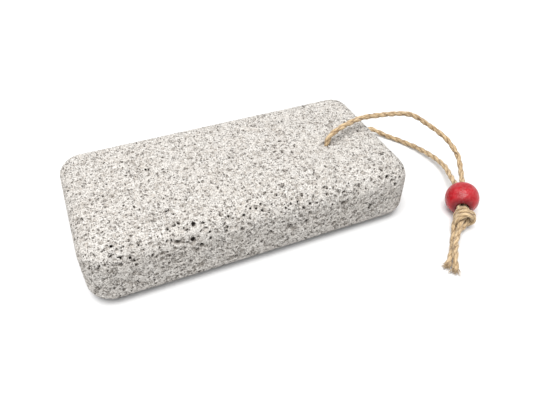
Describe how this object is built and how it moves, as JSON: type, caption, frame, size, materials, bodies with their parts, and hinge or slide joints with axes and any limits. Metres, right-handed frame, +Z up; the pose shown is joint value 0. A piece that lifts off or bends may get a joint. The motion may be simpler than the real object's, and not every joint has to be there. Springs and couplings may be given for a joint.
{
  "type": "pumice stone",
  "caption": "Block of natural pumice foam for smoothing skin, with a twine loop through a drilled hole, held by a red wooden bead and a knot",
  "frame": {"origin": "centre of the stone block's underside, on the surface it lies on", "axes": "+X along the block to the end with the twine, +Y across its width, +Z up through its thickness"},
  "size_m": [0.1205, 0.0713, 0.0233],
  "materials": {
    "pumice": "matt grey-white volcanic foam, open bubbles all over with thin pale walls",
    "bead_paint": "turned wood under glossy red paint",
    "twine": "two-ply twisted plant-fibre twine, straw brown, slightly hairy"
  },
  "bodies": {
    "root": {"pumice_stone": "pumice", "bead": "bead_paint", "knot": "twine", "twine_upper_leg": "twine", "twine_lower_leg": "twine", "twine_upper_tail": "twine", "twine_lower_tail": "twine"}
  },
  "joints": []
}
